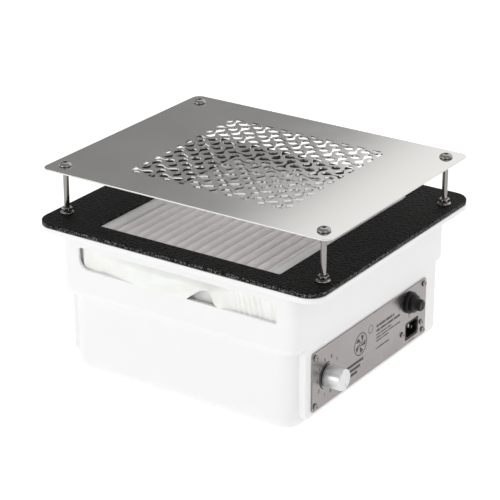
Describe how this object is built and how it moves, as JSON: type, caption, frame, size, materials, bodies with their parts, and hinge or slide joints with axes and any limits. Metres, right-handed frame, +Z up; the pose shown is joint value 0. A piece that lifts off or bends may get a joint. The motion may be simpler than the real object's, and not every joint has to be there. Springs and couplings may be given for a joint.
{
  "type": "nail dust collector",
  "caption": "Built-in nail dust collector: white tub, black top plate, pleated filter under a raised perforated steel hand rest, centrifugal fan, steel control panel with speed knob.",
  "frame": {"origin": "on the underside of the tub, in the middle of the whole object's footprint", "axes": "+X towards the short side with the control panel, -Y towards the long side with the exhaust slot, +Z up"},
  "size_m": [0.35, 0.314, 0.2186],
  "materials": {
    "white_shell": "injection-moulded white plastic, satin",
    "black_plate": "coarse leather-grain black",
    "hand_rest_steel": "satin stainless, punched",
    "bright_fasteners": "polished",
    "collars": "soft black",
    "filter_surround": "white fibre board",
    "filter_paper": "folded non-woven media",
    "filter_seal": "foam strip",
    "filter_sleeve": "grey moulded",
    "inlet_ring": "spun",
    "fan_plastic": "glass-filled black",
    "motor_shell": "cast and turned",
    "motor_core": "varnished laminations and windings",
    "ground_steel": "ground",
    "panel_steel": "satin stainless with dark printed marks",
    "knob_grey": "silver-grey",
    "pot_case": "plain",
    "black_plastic": "moulded",
    "fuse_glass": "clear tube with metal ends",
    "contact_brass": "plated",
    "circuit_board": "green solder mask",
    "capacitor_can": "drawn",
    "lead_sleeve": "cable jacket",
    "exhaust_cloth": "thin non-woven, cream white"
  },
  "bodies": {
    "casing": {"tub": "white_shell", "top_plate": "black_plate", "rim_screw_1": "bright_fasteners", "rim_screw_2": "bright_fasteners", "rim_screw_3": "bright_fasteners", "rim_screw_4": "bright_fasteners", "panel_screw_1": "bright_fasteners", "panel_screw_2": "bright_fasteners", "panel_screw_3": "bright_fasteners", "panel_screw_4": "bright_fasteners", "inlet_screw_1": "bright_fasteners", "inlet_screw_2": "bright_fasteners", "pot_nut": "bright_fasteners", "motor_screw_1": "bright_fasteners", "motor_screw_2": "bright_fasteners", "motor_screw_3": "bright_fasteners", "motor_screw_4": "bright_fasteners", "filter_box": "filter_sleeve", "fan_inlet_ring": "inlet_ring", "motor_mount": "motor_shell", "motor_stator": "motor_core", "bearing_lower": "ground_steel", "bearing_upper": "ground_steel", "control_panel": "panel_steel", "potentiometer": "pot_case", "fuse_holder": "black_plastic", "power_inlet": "black_plastic", "inlet_pin_line": "contact_brass", "inlet_pin_neutral": "contact_brass", "inlet_pin_earth": "contact_brass", "speed_board": "circuit_board", "run_capacitor": "capacitor_can", "motor_lead": "lead_sleeve", "exhaust_cloth": "exhaust_cloth"},
    "hand_rest": {"grille_plate": "hand_rest_steel", "grille_screw_1": "bright_fasteners", "grille_screw_2": "bright_fasteners", "grille_screw_3": "bright_fasteners", "grille_screw_4": "bright_fasteners", "grille_collar_1": "collars", "grille_collar_2": "collars", "grille_collar_3": "collars", "grille_collar_4": "collars", "flange_nut_1": "bright_fasteners", "flange_nut_2": "bright_fasteners", "flange_nut_3": "bright_fasteners", "flange_nut_4": "bright_fasteners"},
    "filter": {"filter_frame": "filter_surround", "filter_media": "filter_paper", "filter_gasket": "filter_seal"},
    "rotor": {"impeller": "fan_plastic", "rotor_cup": "motor_shell", "rotor_shaft": "ground_steel"},
    "knob": {"speed_knob": "knob_grey", "pot_shaft": "ground_steel"},
    "fuse": {"fuse_cap": "black_plastic", "fuse_link": "fuse_glass"}
  },
  "joints": [
    {"name": "grille_lift", "type": "slide", "parent": "casing", "child": "hand_rest", "axis": [0, 0, 1], "range_m": [0, 0.16]},
    {"name": "filter_lift", "type": "slide", "parent": "casing", "child": "filter", "axis": [0, 0, 1], "range_m": [0, 0.08]},
    {"name": "fan_spin", "type": "hinge", "parent": "casing", "child": "rotor", "pos_m": [0, 0, 0.0101], "axis": [0, 0, 1], "continuous": true},
    {"name": "knob_turn", "type": "hinge", "parent": "casing", "child": "knob", "pos_m": [0.14755, -0.0925, 0.046], "axis": [-1, 0, 0], "range_deg": [0, 300]},
    {"name": "fuse_pull", "type": "slide", "parent": "casing", "child": "fuse", "axis": [1, 0, 0], "range_m": [0, 0.03]}
  ],
  "couplings": [
    {"joint": "filter_lift", "follows": "grille_lift", "ratio": 0.5}
  ]
}
